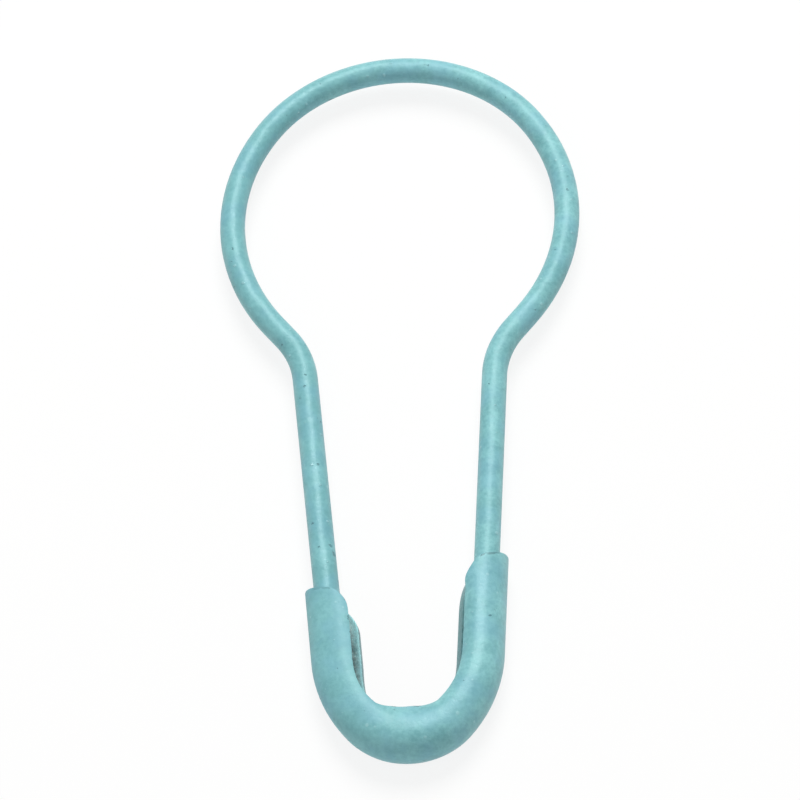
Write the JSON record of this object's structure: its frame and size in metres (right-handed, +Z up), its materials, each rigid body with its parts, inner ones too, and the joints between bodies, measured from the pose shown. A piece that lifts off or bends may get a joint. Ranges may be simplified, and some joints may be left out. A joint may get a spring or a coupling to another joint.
{
  "type": "bulb safety pin",
  "caption": "Pear-shaped wire safety pin with a round spring bulb, a swinging pin arm and a folded sheet guard cap, enamelled.",
  "frame": {"origin": "centre of the pin's outline on the surface it lies on", "axes": "+Y along the pin from the cap towards the bulb, +Z up from the surface, X across with the pin arm on the -X side"},
  "size_m": [0.0096, 0.022, 0.0013],
  "materials": {
    "wire_enamel": "satin turquoise enamel over spring steel wire",
    "cap_enamel": "satin turquoise enamel over folded steel sheet, bare steel inside the guard"
  },
  "bodies": {
    "cap_and_fixed_arm": {"folded_cap": "cap_enamel", "fixed_arm_wire": "wire_enamel"},
    "pin_arm": {"pin_arm_wire": "wire_enamel"}
  },
  "joints": [
    {"name": "pin_arm_flex", "type": "hinge", "parent": "cap_and_fixed_arm", "child": "pin_arm", "pos_m": [0, 0.01066, 0.00064], "axis": [0, 0, 1], "range_deg": [0, 8], "stiffness_Nm_per_rad": 0.04}
  ]
}
